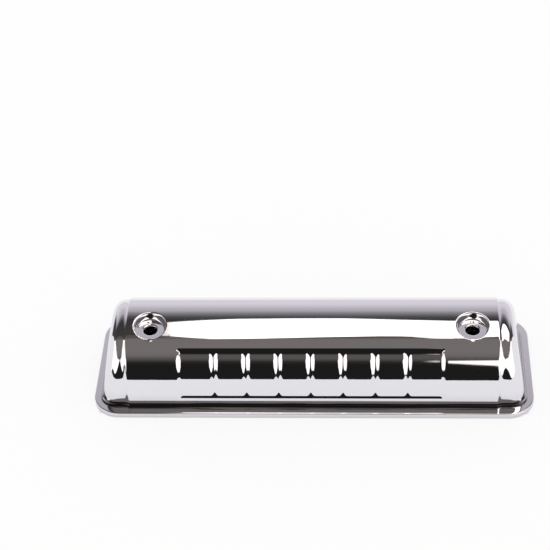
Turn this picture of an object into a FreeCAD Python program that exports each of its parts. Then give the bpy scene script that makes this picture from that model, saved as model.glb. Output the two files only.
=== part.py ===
"""Engine valve cover: one chromed steel pressing of constant sheet thickness.

Frame: X along the cover, Y across it, Z up, millimetres. The origin is the middle of the rim,
on the gasket face. The ribbed panel faces -Y.

The pressing is the outer skin minus the inner skin. Both skins are made by the same steps,
and the inner one has every surface moved in by the sheet thickness.
"""
import FreeCAD, Part
import math
import os
import Sketcher

from FreeCAD import Placement, Rotation, Vector

doc = FreeCAD.newDocument("valve_cover")

# Driving dimensions: lengths in millimetres, drafts and panel limits in degrees
SIZES = {
    "sheet": 1.2,
    "stud_spacing": 333.8,
    "step_margin": 26.4,
    "end_margin": 29.3,
    "end_flange": 8.9,
    "rim_width": 145.0,
    "front_flange": 10.3,
    "back_flange": 10.3,
    "rim_corner": 28.0,
    "lip_depth": 6.0,
    "lip_bend": 2.4,
    "foot_bend": 3.2,
    "front_draft": 4.0,
    "front_straight": 20.0,
    "front_bend": 100.0,
    "shoulder_bend": 24.0,
    "crown_bend": 95.0,
    "crown_height": 86.6,
    "crown_place": 2.1,
    "back_draft": 20.0,
    "end_draft": 9.5,
    "end_bend": 15.0,
    "step_depth": 1.7,
    "step_run": 4.6,
    "pattern_shift": -1.1,
    "panel_margin": 31.0,
    "panel_low": 3.4,
    "panel_top_margin": 0.4,
    "panel_sink": 1.5,
    "panel_slope_run": 4.4,
    "end_cell_extra": 1.9,
    "groove_width": 8.4,
    "groove_sink": 1.2,
    "groove_slope_run": 3.6,
    "stud_offset": 21.4,
    "seat_depth": 8.6,
    "seat_bore": 32.0,
    "seat_wall_draft": 22.0,
    "boss_draft": 14.0,
    "boss_depth": 16.0,
    "stud_hole": 13.9,
    "hole_bend": 1.8,
    "hole_collar": 3.6,
}
PANEL_CELLS = 8
NEAR = 1e-3

# Sizes that follow from the driving ones. The length is set out from the stud holes: a step
# stands one margin beyond a stud, the end wall's foot another, and the flange ends the rim.
# The cross-section is a chain of arcs that touch, so the shoulder's centre lies where two
# circles about the centres of the front bend and the crown cross.
TIES = {
    "step_place": "stud_spacing / 2 + step_margin",
    "end_reach": "step_place + end_margin",
    "rim_length": "2 * (end_reach + end_flange)",
    "front_reach": "rim_width / 2 - front_flange",
    "back_reach": "rim_width / 2 - back_flange",
    "panel_reach": "stud_spacing / 2 - panel_margin",
    "groove_pitch": f"(panel_reach - end_cell_extra) / {PANEL_CELLS // 2}",
    "seat_height": "crown_height - seat_depth",
    "front_foot": "(front_straight - lip_depth) * tan(front_draft) - front_reach",
    "front_y": "front_foot + front_bend * cos(front_draft)",
    "front_z": "front_straight - front_bend * sin(front_draft)",
    "crown_z": "crown_height - crown_bend",
    "back_room": "back_reach - crown_place - (crown_height - lip_depth) * tan(back_draft)",
    "back_bend": "back_room / (cos(back_draft) - (1 - sin(back_draft)) * tan(back_draft))",
    "apart_y": "crown_place - front_y",
    "apart_z": "crown_z - front_z",
    "apart": "sqrt(apart_y ^ 2 + apart_z ^ 2)",
    "front_to_shoulder": "front_bend - shoulder_bend",
    "crown_to_shoulder": "crown_bend - shoulder_bend",
    "along": "(front_to_shoulder ^ 2 - crown_to_shoulder ^ 2 + apart ^ 2) / (2 * apart)",
    "across": "sqrt(front_to_shoulder ^ 2 - along ^ 2)",
    "shoulder_y": "front_y + (along * apart_y + across * apart_z) / apart",
    "shoulder_z": "front_z + (along * apart_z - across * apart_y) / apart",
    "shoulder_start": "atan((shoulder_z - front_z) / (front_y - shoulder_y)) / 1 deg",
    "crown_start": "atan((shoulder_z - crown_z) / (crown_place - shoulder_y)) / 1 deg",
    "panel_high": "shoulder_start - panel_top_margin",
}

sizes = doc.addObject("Spreadsheet::Sheet", "Sizes")
cells = {alias: str(number) for alias, number in SIZES.items()}
cells.update({alias: f"={formula}" for alias, formula in TIES.items()})
for row, (alias, content) in enumerate(cells.items(), start=1):
    sizes.set(f"A{row}", alias)
    sizes.set(f"B{row}", content)
    sizes.setAlias(f"B{row}", alias)
doc.recompute()


def size(alias):
    """A size, as the spreadsheet holds it."""
    return float(sizes.get(alias))


def slope(alias):
    """An angle of the spreadsheet, in radians."""
    return math.radians(size(alias))


def arc(centre, radius, start, end):
    """An arc of a circle, anticlockwise from one angle in degrees to another."""
    circle = Part.Circle(Vector(centre[0], centre[1], 0), Vector(0, 0, 1), radius)
    return Part.ArcOfCircle(circle, math.radians(start), math.radians(end))


def line(start, end):
    return Part.LineSegment(Vector(start[0], start[1], 0), Vector(end[0], end[1], 0))


def dimension(sketch, name, expression, *constraint):
    """Adds a named dimension to a sketch and ties it to an expression."""
    index = sketch.addConstraint(Sketcher.Constraint(*constraint))
    sketch.renameConstraint(index, name)
    sketch.setExpression(f"Constraints.{name}", expression)


def relate(sketch, kind, *where):
    sketch.addConstraint(Sketcher.Constraint(kind, *where))


def closed_polygon(sketch, corners):
    """Adds a closed polygon to a sketch and gives the number of its first line."""
    first = sketch.GeometryCount
    count = len(corners)
    sketch.addGeometry([line(corners[i], corners[(i + 1) % count]) for i in range(count)], False)
    for i in range(count):
        relate(sketch, "Coincident", first + i, 2, first + (i + 1) % count, 1)
    return first


def origin_plane(body, role):
    return next(item for item in body.Origin.OriginFeatures if item.Role == role)


def sketch_on(body, name, role):
    """A sketch on one of the body's own origin planes."""
    sketch = body.newObject("Sketcher::SketchObject", name)
    sketch.AttachmentSupport = [(origin_plane(body, role), "")]
    sketch.MapMode = "FlatFace"
    return sketch


def dome_curves(outset, floor):
    """Back wall, back bend, crown, shoulder, front bend and front wall of a cross-section.

    outset is how far they stand outside the main body's outer skin, and floor is the height
    at which the walls end.
    """
    back = slope("back_draft")
    front = slope("front_draft")
    crown_y = size("crown_place")
    back_z = size("crown_height") - size("back_bend")
    back_bend = size("back_bend") + outset
    front_bend = size("front_bend") + outset
    back_top = (crown_y + back_bend * math.cos(back), back_z + back_bend * math.sin(back))
    back_foot = (back_top[0] + (back_top[1] - floor) * math.tan(back), floor)
    front_centre = (size("front_y"), size("front_z"))
    shoulder_centre = (size("shoulder_y"), size("shoulder_z"))
    front_top = (
        front_centre[0] - front_bend * math.cos(front),
        front_centre[1] + front_bend * math.sin(front),
    )
    front_foot = (front_top[0] - (front_top[1] - floor) * math.tan(front), floor)
    to_shoulder = 180 - size("crown_start")
    to_front = 180 - size("shoulder_start")
    return [
        line(back_foot, back_top),
        arc((crown_y, back_z), back_bend, size("back_draft"), 90),
        arc((crown_y, size("crown_z")), size("crown_bend") + outset, 90, to_shoulder),
        arc(shoulder_centre, size("shoulder_bend") + outset, to_shoulder, to_front),
        arc(front_centre, front_bend, to_front, 180 - size("front_draft")),
        line(front_foot, front_top),
    ]


def tie_dome(sketch, outset):
    """Dimensions of the six dome curves, which are the sketch's first six."""
    back_wall, back_bend, crown, shoulder, front_bend, front_wall = range(6)
    relate(sketch, "Tangent", back_wall, 2, back_bend, 1)
    relate(sketch, "Tangent", back_bend, 2, crown, 1)
    relate(sketch, "Tangent", crown, 2, shoulder, 1)
    relate(sketch, "Tangent", shoulder, 2, front_bend, 1)
    relate(sketch, "Tangent", front_bend, 2, front_wall, 2)
    bends = {
        "back_bend": back_bend, "crown_bend": crown, "shoulder_bend": shoulder, "front_bend": front_bend,
    }
    for name, curve in bends.items():
        radius = sketch.Geometry[curve].Radius
        dimension(sketch, name, f"Sizes.{name} + {outset}", "Radius", curve, radius)
    centres = (
        ("front_y", "X", front_bend), ("front_z", "Y", front_bend), ("crown_z", "Y", crown),
        ("crown_place", "X", crown),
    )
    for name, way, curve in centres:
        dimension(sketch, name, f"Sizes.{name}", f"Distance{way}", -1, 1, curve, 3, size(name))
    back_place = size("crown_place")
    dimension(sketch, "back_place", "Sizes.crown_place", "DistanceX", -1, 1, back_bend, 3, back_place)
    back = math.radians(90 + size("back_draft"))
    front = math.radians(90 - size("front_draft"))
    dimension(sketch, "back_slope", "(90 + Sizes.back_draft) * 1 deg", "Angle", back_wall, back)
    dimension(sketch, "front_slope", "(90 - Sizes.front_draft) * 1 deg", "Angle", front_wall, front)


def dome_section(body, name, outset_value, outset):
    """Cross-section of the dome alone, closed along the gasket face."""
    sketch = sketch_on(body, name, "YZ_Plane")
    curves = dome_curves(outset_value, 0.0)
    floor = len(curves)
    sketch.addGeometry(curves + [line(curves[5].StartPoint, curves[0].StartPoint)], False)
    tie_dome(sketch, outset)
    relate(sketch, "Coincident", 5, 1, floor, 1)
    relate(sketch, "Coincident", 0, 1, floor, 2)
    relate(sketch, "PointOnObject", floor, 1, -1)
    relate(sketch, "PointOnObject", floor, 2, -1)
    return sketch


def whole_section(body, name, outset_value, outset, inset_value, inset):
    """Cross-section of the whole cover: dome, foot bends, flange, lip bends and lip."""
    sketch = sketch_on(body, name, "YZ_Plane")
    half = size("rim_width") / 2 - inset_value
    top = size("lip_depth") - inset_value
    bend = size("lip_bend") - inset_value
    foot = size("foot_bend") + inset_value
    dome = dome_curves(outset_value, top)
    back = slope("back_draft")
    front = slope("front_draft")
    foot_back_y = dome[0].StartPoint.x + foot * (1 / math.cos(back) - math.tan(back))
    foot_front_y = dome[5].StartPoint.x - foot * (1 / math.cos(front) - math.tan(front))
    foot_back = arc((foot_back_y, top + foot), foot, 180 + size("back_draft"), 270)
    foot_front = arc((foot_front_y, top + foot), foot, 270, 360 - size("front_draft"))
    curves = [
        line(foot_back.StartPoint, dome[0].EndPoint),
        *dome[1:5],
        line(foot_front.EndPoint, dome[5].EndPoint),
        foot_back,
        line((foot_back_y, top), (half - bend, top)),
        arc((half - bend, top - bend), bend, 0, 90),
        line((half, 0), (half, top - bend)),
        line((-half, 0), (half, 0)),
        line((-half, 0), (-half, top - bend)),
        arc((bend - half, top - bend), bend, 90, 180),
        line((bend - half, top), (foot_front_y, top)),
        foot_front,
    ]
    sketch.addGeometry(curves, False)
    tie_dome(sketch, outset)
    back_chain = ((0, 1, 6, 1), (6, 2, 7, 1), (7, 2, 8, 2), (8, 1, 9, 2))
    front_chain = ((11, 2, 12, 2), (12, 1, 13, 1), (13, 2, 14, 1), (14, 2, 5, 1))
    for ends in back_chain + front_chain:
        relate(sketch, "Tangent", *ends)
    relate(sketch, "Coincident", 9, 1, 10, 2)
    relate(sketch, "Coincident", 11, 1, 10, 1)
    relate(sketch, "PointOnObject", 10, 1, -1)
    relate(sketch, "PointOnObject", 10, 2, -1)
    relate(sketch, "Horizontal", 7)
    relate(sketch, "Horizontal", 13)
    relate(sketch, "Equal", 6, 14)
    relate(sketch, "Equal", 8, 12)
    half_width = f"Sizes.rim_width / 2 - {inset}"
    flange_top = f"Sizes.lip_depth - {inset}"
    dimension(sketch, "foot_bend", f"Sizes.foot_bend + {inset}", "Radius", 6, foot)
    dimension(sketch, "lip_bend", f"Sizes.lip_bend - {inset}", "Radius", 8, bend)
    dimension(sketch, "back_half", half_width, "DistanceX", -1, 1, 10, 2, half)
    dimension(sketch, "front_half", half_width, "DistanceX", 10, 1, -1, 1, half)
    dimension(sketch, "back_top", flange_top, "DistanceY", -1, 1, 7, 1, top)
    dimension(sketch, "front_top", flange_top, "DistanceY", -1, 1, 13, 1, top)
    return sketch


def rim_outline(body, name, inset_value, inset):
    """The rim seen from above: a rectangle with round corners."""
    sketch = sketch_on(body, name, "XY_Plane")
    half_long = size("rim_length") / 2 - inset_value
    half_wide = size("rim_width") / 2 - inset_value
    corner = size("rim_corner") - inset_value
    in_x = half_long - corner
    in_y = half_wide - corner
    sketch.addGeometry(
        [
            line((-in_x, -half_wide), (in_x, -half_wide)),
            arc((in_x, -in_y), corner, 270, 360),
            line((half_long, -in_y), (half_long, in_y)),
            arc((in_x, in_y), corner, 0, 90),
            line((in_x, half_wide), (-in_x, half_wide)),
            arc((-in_x, in_y), corner, 90, 180),
            line((-half_long, in_y), (-half_long, -in_y)),
            arc((-in_x, -in_y), corner, 180, 270),
        ],
        False,
    )
    for i in range(8):
        relate(sketch, "Tangent", i, 2, (i + 1) % 8, 1)
    for i in (0, 4):
        relate(sketch, "Horizontal", i)
    for i in (2, 6):
        relate(sketch, "Vertical", i)
    for i in (3, 5, 7):
        relate(sketch, "Equal", 1, i)
    long_half = f"Sizes.rim_length / 2 - {inset}"
    wide_half = f"Sizes.rim_width / 2 - {inset}"
    dimension(sketch, "corner", f"Sizes.rim_corner - {inset}", "Radius", 1, corner)
    dimension(sketch, "right", long_half, "DistanceX", -1, 1, 2, 1, half_long)
    dimension(sketch, "left", long_half, "DistanceX", 6, 1, -1, 1, half_long)
    dimension(sketch, "back", wide_half, "DistanceY", -1, 1, 4, 1, half_wide)
    dimension(sketch, "front", wide_half, "DistanceY", 0, 1, -1, 1, half_wide)
    return sketch


def rim_distance(x, y, inset_value):
    """How far a point of the plan lies outside the rim's outline; negative inside."""
    corner = size("rim_corner") - inset_value
    dx = abs(x) - (size("rim_length") / 2 - inset_value - corner)
    dy = abs(y) - (size("rim_width") / 2 - inset_value - corner)
    return math.hypot(max(dx, 0), max(dy, 0)) + min(max(dx, dy), 0) - corner


def edges_where(shape, test):
    """Names of the edges whose ends and middle all pass the test."""
    names = []
    for number, edge in enumerate(shape.Edges, start=1):
        middle = edge.valueAt((edge.FirstParameter + edge.LastParameter) / 2)
        if all(test(point) for point in [vertex.Point for vertex in edge.Vertexes] + [middle]):
            names.append(f"Edge{number}")
    return names


def fillet(body, name, base, test, radius):
    """Rounds the edges of a feature that pass a test, with a radius tied to an expression."""
    rounding = body.newObject("PartDesign::Fillet", name)
    rounding.Base = (base, edges_where(base.Shape, test))
    rounding.setExpression("Radius", radius)
    doc.recompute()
    return rounding


def mirror_left(body, name, feature):
    """Repeats a feature of the right end at the left end."""
    mirrored = body.newObject("PartDesign::Mirrored", name)
    mirrored.Originals = [feature]
    mirrored.MirrorPlane = (origin_plane(body, "YZ_Plane"), [""])
    body.Tip = mirrored
    doc.recompute()
    return mirrored


def formed_dome(skin, inset_value, inset):
    """Dome, sloped and rounded ends, flange, lip and the raised main body of one skin."""
    body = doc.addObject("PartDesign::Body", f"{skin}_form")
    low_value = -size("step_depth") - inset_value
    low = f"-Sizes.step_depth - {inset}"
    dome = body.newObject("PartDesign::Pad", f"{skin}_dome")
    dome.Profile = dome_section(body, f"{skin}_end_section", low_value, low)
    dome.Midplane = True
    dome.setExpression("Length", "Sizes.rim_length")

    # The end wall leans in from the flange upwards
    lean = slope("end_draft")
    foot_x = size("end_reach") + size("lip_depth") * math.tan(lean) - inset_value / math.cos(lean)
    far = size("rim_length")
    high = 2 * size("crown_height")
    outside = sketch_on(body, f"{skin}_end_slope", "XZ_Plane")
    closed_polygon(outside, [(foot_x, 0), (far, 0), (far, high), (foot_x - high * math.tan(lean), high)])
    relate(outside, "PointOnObject", 0, 1, -1)
    relate(outside, "Horizontal", 0)
    relate(outside, "Vertical", 1)
    relate(outside, "Horizontal", 2)
    reach = f"Sizes.end_reach + Sizes.lip_depth * tan(Sizes.end_draft) - {inset} / cos(Sizes.end_draft)"
    down = math.radians(size("end_draft") - 90)
    dimension(outside, "foot", reach, "DistanceX", -1, 1, 0, 1, foot_x)
    dimension(outside, "far", "Sizes.rim_length", "DistanceX", -1, 1, 0, 2, far)
    dimension(outside, "high", "2 * Sizes.crown_height", "DistanceY", -1, 1, 1, 2, high)
    dimension(outside, "slope", "(Sizes.end_draft - 90) * 1 deg", "Angle", 3, down)
    right_end = body.newObject("PartDesign::Pocket", f"{skin}_right_end")
    right_end.Profile = outside
    right_end.Type = "ThroughAll"
    right_end.Midplane = True
    doc.recompute()
    cut_ends = mirror_left(body, f"{skin}_left_end", right_end)

    def on_end_slope(point):
        off = (abs(point.x) - foot_x) * math.cos(lean) + point.z * math.sin(lean)
        return abs(off) < NEAR

    floor_edges = edges_where(cut_ends.Shape, lambda point: abs(point.z) < NEAR)
    end_bends = body.newObject("PartDesign::Fillet", f"{skin}_end_bends")
    end_bends.Base = (
        cut_ends,
        [name for name in edges_where(cut_ends.Shape, on_end_slope) if name not in floor_edges],
    )
    end_bends.setExpression("Radius", f"Sizes.end_bend - {inset}")

    flange = body.newObject("PartDesign::Pad", f"{skin}_flange")
    flange.Profile = rim_outline(body, f"{skin}_rim_outline", inset_value, inset)
    flange.setExpression("Length", f"Sizes.lip_depth - {inset}")
    doc.recompute()
    top = size("lip_depth") - inset_value
    foot = fillet(
        body, f"{skin}_foot_bend", flange,
        lambda point: abs(point.z - top) < NEAR and rim_distance(point.x, point.y, inset_value) < -NEAR,
        f"Sizes.foot_bend + {inset}",
    )
    fillet(
        body, f"{skin}_lip_bend", foot,
        lambda point: abs(point.z - top) < NEAR and abs(rim_distance(point.x, point.y, inset_value)) < NEAR,
        f"Sizes.lip_bend - {inset}",
    )

    # Between the steps the whole section stands proud of the ends
    high_value = -inset_value
    high_up = f"-{inset}"
    middle = body.newObject("PartDesign::Pad", f"{skin}_main_body")
    middle.Profile = whole_section(body, f"{skin}_main_section", high_value, high_up, inset_value, inset)
    middle.Midplane = True
    middle.setExpression("Length", "2 * Sizes.step_place - Sizes.step_run")
    doc.recompute()
    step_top = whole_section(body, f"{skin}_step_top", high_value, high_up, inset_value, inset)
    step_foot = whole_section(body, f"{skin}_step_foot", low_value, low, inset_value, inset)
    step_top.setExpression("AttachmentOffset.Base.z", "Sizes.step_place - Sizes.step_run / 2")
    step_foot.setExpression("AttachmentOffset.Base.z", "Sizes.step_place + Sizes.step_run / 2")
    doc.recompute()
    right_step = body.newObject("PartDesign::AdditiveLoft", f"{skin}_right_step")
    right_step.Profile = step_top
    right_step.Sections = [step_foot]
    right_step.Ruled = True
    doc.recompute()
    mirror_left(body, f"{skin}_left_step", right_step)
    return body


def panel_recess(skin, inset_value, inset):
    """The sunk panel with its deeper grooves, as a solid to take out of the front bend.

    A profile along the cover, turned round the front bend's axis, gives the sloped ends and the
    grooves. A bent strip cut off along the cover gives the upper and lower slopes.
    """
    root = size("front_bend") - inset_value
    sink = size("panel_sink")
    run = size("panel_slope_run")
    groove_sink = size("groove_sink")
    groove_run = size("groove_slope_run")
    wider = inset_value * math.tan(math.atan2(sink, run) / 2)
    groove_wider = inset_value * math.tan(math.atan2(groove_sink, groove_run) / 2)
    root_text = f"Sizes.front_bend - {inset}"
    wider_text = f"{inset} * tan(atan(Sizes.panel_sink / Sizes.panel_slope_run) / 2)"
    groove_wider_text = f"{inset} * tan(atan(Sizes.groove_sink / Sizes.groove_slope_run) / 2)"
    start = size("rim_length") / 2
    middle = start + size("pattern_shift")
    middle_text = "Sizes.rim_length / 2 + Sizes.pattern_shift"

    # Each corner: place along the cover and radius, each as a number and as an expression
    half = size("panel_reach") + wider
    half_text = f"(Sizes.panel_reach + {wider_text})"
    above = (root + sink, f"{root_text} + Sizes.panel_sink")
    floor = (root - sink, f"{root_text} - Sizes.panel_sink")
    deep = (root - sink - groove_sink, f"{root_text} - Sizes.panel_sink - Sizes.groove_sink")
    corners = [
        (middle - half - run, f"{middle_text} - {half_text} - Sizes.panel_slope_run", *above),
        (middle - half + run, f"{middle_text} - {half_text} + Sizes.panel_slope_run", *floor),
    ]
    for groove in range(1, PANEL_CELLS):
        from_middle = groove - PANEL_CELLS // 2
        centre = middle + from_middle * size("groove_pitch")
        centre_text = f"{middle_text} + {from_middle} * Sizes.groove_pitch"
        outer = size("groove_width") / 2 + groove_wider
        outer_text = f"(Sizes.groove_width / 2 + {groove_wider_text})"
        inner = outer - groove_run
        inner_text = f"({outer_text} - Sizes.groove_slope_run)"
        corners += [
            (centre - outer, f"{centre_text} - {outer_text}", *floor),
            (centre - inner, f"{centre_text} - {inner_text}", *deep),
            (centre + inner, f"{centre_text} + {inner_text}", *deep),
            (centre + outer, f"{centre_text} + {outer_text}", *floor),
        ]
    corners += [
        (middle + half - run, f"{middle_text} + {half_text} - Sizes.panel_slope_run", *floor),
        (middle + half + run, f"{middle_text} + {half_text} + Sizes.panel_slope_run", *above),
    ]
    comb = doc.addObject("Sketcher::SketchObject", f"{skin}_panel_profile")
    closed_polygon(comb, [(along, radius) for along, _, radius, _ in corners])
    for number, (along, along_text, radius, radius_text) in enumerate(corners):
        dimension(comb, f"along_{number}", along_text, "DistanceX", -1, 1, number, 1, along)
        dimension(comb, f"radius_{number}", radius_text, "DistanceY", -1, 1, number, 1, radius)

    # The profile starts past the lower slope's foot and is turned past the upper slope's
    over_turn = f"2 * Sizes.panel_slope_run / ({root_text}) * 180 / pi"
    comb.Placement = Placement(
        Vector(-start, size("front_y"), size("front_z")),
        Rotation(Vector(1, 0, 0), 180 - size("panel_low")),
    )
    comb.setExpression("Placement.Base.x", "-Sizes.rim_length / 2")
    comb.setExpression("Placement.Base.y", "Sizes.front_y")
    comb.setExpression("Placement.Base.z", "Sizes.front_z")
    comb.setExpression("Placement.Rotation.Angle", f"(180 - Sizes.panel_low + 2 * {over_turn}) * 1 deg")
    grooved = doc.addObject("Part::Revolution", f"{skin}_panel_ends")
    grooved.Source = comb
    grooved.Axis = Vector(-1, 0, 0)
    grooved.Solid = True
    grooved.setExpression("Base.y", "Sizes.front_y")
    grooved.setExpression("Base.z", "Sizes.front_z")
    grooved.setExpression("Angle", f"Sizes.panel_high - Sizes.panel_low + 4 * {over_turn}")

    # Seen from the end: two arcs round the front bend's axis, joined by the two slopes
    strip = doc.addObject("Sketcher::SketchObject", f"{skin}_panel_strip")
    outside = root + sink
    inside = root - 3 * sink
    outside_text = f"{root_text} + Sizes.panel_sink"
    inside_text = f"{root_text} - 3 * Sizes.panel_sink"
    shift = math.degrees(wider / root)
    shift_text = f"({wider_text}) / ({root_text}) * 180 / pi"
    step = math.degrees(run / root)
    step_text = f"Sizes.panel_slope_run / ({root_text}) * 180 / pi"
    low = size("panel_low") - shift
    high = size("panel_high") + shift
    low_text = f"Sizes.panel_low - {shift_text}"
    high_text = f"Sizes.panel_high + {shift_text}"
    turns = [low + 3 * step, low - step, high + step, high - 3 * step]
    radii = [inside, outside, outside, inside]
    points = [
        (-radius * math.cos(math.radians(angle)), radius * math.sin(math.radians(angle)))
        for angle, radius in zip(turns, radii)
    ]
    strip.addGeometry(
        [
            line(points[0], points[1]),
            arc((0, 0), outside, 180 - turns[2], 180 - turns[1]),
            line(points[2], points[3]),
            arc((0, 0), inside, 180 - turns[3], 180 - turns[0]),
        ],
        False,
    )
    relate(strip, "Coincident", 0, 2, 1, 2)
    relate(strip, "Coincident", 1, 1, 2, 1)
    relate(strip, "Coincident", 2, 2, 3, 1)
    relate(strip, "Coincident", 3, 2, 0, 1)
    relate(strip, "Coincident", 1, 3, -1, 1)
    relate(strip, "Coincident", 3, 3, -1, 1)
    dimension(strip, "outside", outside_text, "Radius", 1, outside)
    dimension(strip, "inside", inside_text, "Radius", 3, inside)
    ends = (
        ("low_inside", f"{low_text} + 3 * {step_text}", inside_text, 0, 1, points[0]),
        ("low_outside", f"{low_text} - {step_text}", outside_text, 0, 2, points[1]),
        ("high_outside", f"{high_text} + {step_text}", outside_text, 2, 1, points[2]),
        ("high_inside", f"{high_text} - 3 * {step_text}", inside_text, 2, 2, points[3]),
    )
    for name, angle, radius, curve, end, point in ends:
        height = f"({radius}) * sin(({angle}) * 1 deg)"
        dimension(strip, name, height, "DistanceY", -1, 1, curve, end, point[1])
    strip.Placement = Placement(
        Vector(0, size("front_y"), size("front_z")), Rotation(Vector(1, 1, 1), 120)
    )
    strip.setExpression("Placement.Base.y", "Sizes.front_y")
    strip.setExpression("Placement.Base.z", "Sizes.front_z")
    slopes = doc.addObject("Part::Extrusion", f"{skin}_panel_slopes")
    slopes.Base = strip
    slopes.DirMode = "Normal"
    slopes.Solid = True
    slopes.Symmetric = True
    slopes.setExpression("LengthFwd", "Sizes.rim_length")
    recess = doc.addObject("Part::Common", f"{skin}_panel_recess")
    recess.Base = grooved
    recess.Tool = slopes
    return recess


def stud_place(side):
    """Where a stud stands along the cover and across it, as expressions."""
    return f"{side} * Sizes.stud_spacing / 2 + Sizes.pattern_shift", "-Sizes.stud_offset"


def stud_seats(skin, side, inset):
    """A flat seat for a washer: a boss that stands out of the slope, under a round recess.

    Returns the boss and the recess. Offsetting a sloped wall by the sheet thickness moves its
    edge along the seat by that thickness times the tangent of half the angle between them.
    """
    along, across = stud_place(side)
    place = {"Placement.Base.x": along, "Placement.Base.y": across}
    label = "right" if side > 0 else "left"
    boss = doc.addObject("Part::Cone", f"{skin}_{label}_boss")
    top = f"Sizes.seat_bore / 2 - {inset} * tan(45 - Sizes.boss_draft / 2)"
    boss.setExpression("Height", "Sizes.boss_depth")
    boss.setExpression("Radius2", top)
    boss.setExpression("Radius1", f"{top} + Sizes.boss_depth * tan(Sizes.boss_draft)")
    recess = doc.addObject("Part::Cone", f"{skin}_{label}_recess")
    floor = f"Sizes.seat_bore / 2 + {inset} * tan(45 - Sizes.seat_wall_draft / 2)"
    above = "2 * (Sizes.crown_height - Sizes.seat_height)"
    recess.setExpression("Height", above)
    recess.setExpression("Radius1", floor)
    recess.setExpression("Radius2", f"{floor} + {above} * tan(Sizes.seat_wall_draft)")
    place["Placement.Base.z"] = f"Sizes.seat_height - {inset}"
    for name, expression in place.items():
        recess.setExpression(name, expression)
    place["Placement.Base.z"] = f"Sizes.seat_height - {inset} - Sizes.boss_depth"
    for name, expression in place.items():
        boss.setExpression(name, expression)
    return boss, recess


def stud_hole(skin, side, inset_value, inset, below_value, below):
    """A stud hole whose edge is rolled down into a short collar, as a solid to take away.

    below is how far the hole runs on past the end of the collar.
    """
    label = "right" if side > 0 else "left"
    profile = doc.addObject("Sketcher::SketchObject", f"{skin}_{label}_hole_profile")
    bore = size("stud_hole") / 2 + inset_value
    bend = size("hole_bend") - inset_value
    seat = size("seat_height") - inset_value
    end = size("seat_height") - size("hole_collar") - below_value
    corners = [(0, end), (bore, end), (bore, seat - bend)]
    profile.addGeometry(
        [
            line(corners[0], corners[1]),
            line(corners[1], corners[2]),
            arc((bore + bend, seat - bend), bend, 90, 180),
            line((bore + bend, seat), (bore + bend, seat + bend)),
            line((bore + bend, seat + bend), (0, seat + bend)),
            line((0, seat + bend), corners[0]),
        ],
        False,
    )
    relate(profile, "Coincident", 0, 2, 1, 1)
    relate(profile, "Tangent", 1, 2, 2, 2)
    relate(profile, "Coincident", 2, 1, 3, 1)
    for i in (3, 4, 5):
        relate(profile, "Coincident", i, 2, (i + 1) % 6, 1)
    relate(profile, "Horizontal", 0)
    relate(profile, "Vertical", 1)
    relate(profile, "Vertical", 3)
    relate(profile, "Horizontal", 4)
    relate(profile, "PointOnObject", 5, 1, -2)
    relate(profile, "PointOnObject", 5, 2, -2)
    bend_text = f"Sizes.hole_bend - {inset}"
    seat_text = f"Sizes.seat_height - {inset}"
    end_text = f"Sizes.seat_height - Sizes.hole_collar - {below}"
    dimension(profile, "bend", bend_text, "Radius", 2, bend)
    dimension(profile, "bore", f"Sizes.stud_hole / 2 + {inset}", "DistanceX", -1, 1, 1, 1, bore)
    flare_text = "Sizes.stud_hole / 2 + Sizes.hole_bend"
    dimension(profile, "flare", flare_text, "DistanceX", -1, 1, 3, 1, bore + bend)
    dimension(profile, "end", end_text, "DistanceY", -1, 1, 0, 1, end)
    dimension(profile, "seat", seat_text, "DistanceY", -1, 1, 3, 1, seat)
    dimension(profile, "above", f"{seat_text} + {bend_text}", "DistanceY", -1, 1, 3, 2, seat + bend)
    along, across = stud_place(side)
    profile.Placement = Placement(Vector(0, 0, 0), Rotation(Vector(1, 0, 0), 90))
    profile.setExpression("Placement.Base.x", along)
    profile.setExpression("Placement.Base.y", across)
    hole = doc.addObject("Part::Revolution", f"{skin}_{label}_hole")
    hole.Source = profile
    hole.Axis = Vector(0, 0, 1)
    hole.Angle = 360
    hole.Solid = True
    hole.setExpression("Base.x", along)
    hole.setExpression("Base.y", across)
    return hole


def whole_skin(skin, inset_value, inset, below_value, below):
    """One skin of the pressing as a solid: form and bosses, less the panel, recesses and holes."""
    added = [formed_dome(skin, inset_value, inset)]
    taken = [panel_recess(skin, inset_value, inset)]
    for side in (1, -1):
        boss, recess = stud_seats(skin, side, inset)
        added.append(boss)
        taken += [recess, stud_hole(skin, side, inset_value, inset, below_value, below)]
    raised = doc.addObject("Part::MultiFuse", f"{skin}_raised")
    raised.Shapes = added
    sunk = doc.addObject("Part::MultiFuse", f"{skin}_sunk")
    sunk.Shapes = taken
    result = doc.addObject("Part::Cut", f"{skin}_skin")
    result.Base = raised
    result.Tool = sunk
    doc.recompute()
    return result


pressed_cover = doc.addObject("Part::Cut", "pressed_cover")
pressed_cover.Base = whole_skin("outer", 0.0, "0", size("sheet"), "Sizes.sheet")
pressed_cover.Tool = whole_skin("inner", size("sheet"), "Sizes.sheet", 0.0, "0")
pressed_cover.Label = "pressed_cover"
doc.recompute()

for item in doc.Objects:
    if "Invalid" in item.State or "Error" in item.State:
        raise RuntimeError(f"{item.Name} could not be made: {item.State}")

parts = [pressed_cover]
os.makedirs("parts", exist_ok=True)
for part in parts:
    if part.Shape.isNull() or not part.Shape.isValid():
        raise RuntimeError(f"{part.Label} has no valid shape")
for part in parts:
    part.Shape.exportStep(f"parts/{part.Label}.step")
    print(part.Label, len(part.Shape.Solids), "solid,", round(part.Shape.Volume), "cubic mm")
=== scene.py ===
"""Chromed pressed-steel engine valve cover, dressed for the camera, in metres in its part's own frame."""

import math

import bpy
import numpy as np
from mathutils import Matrix, Vector


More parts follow.
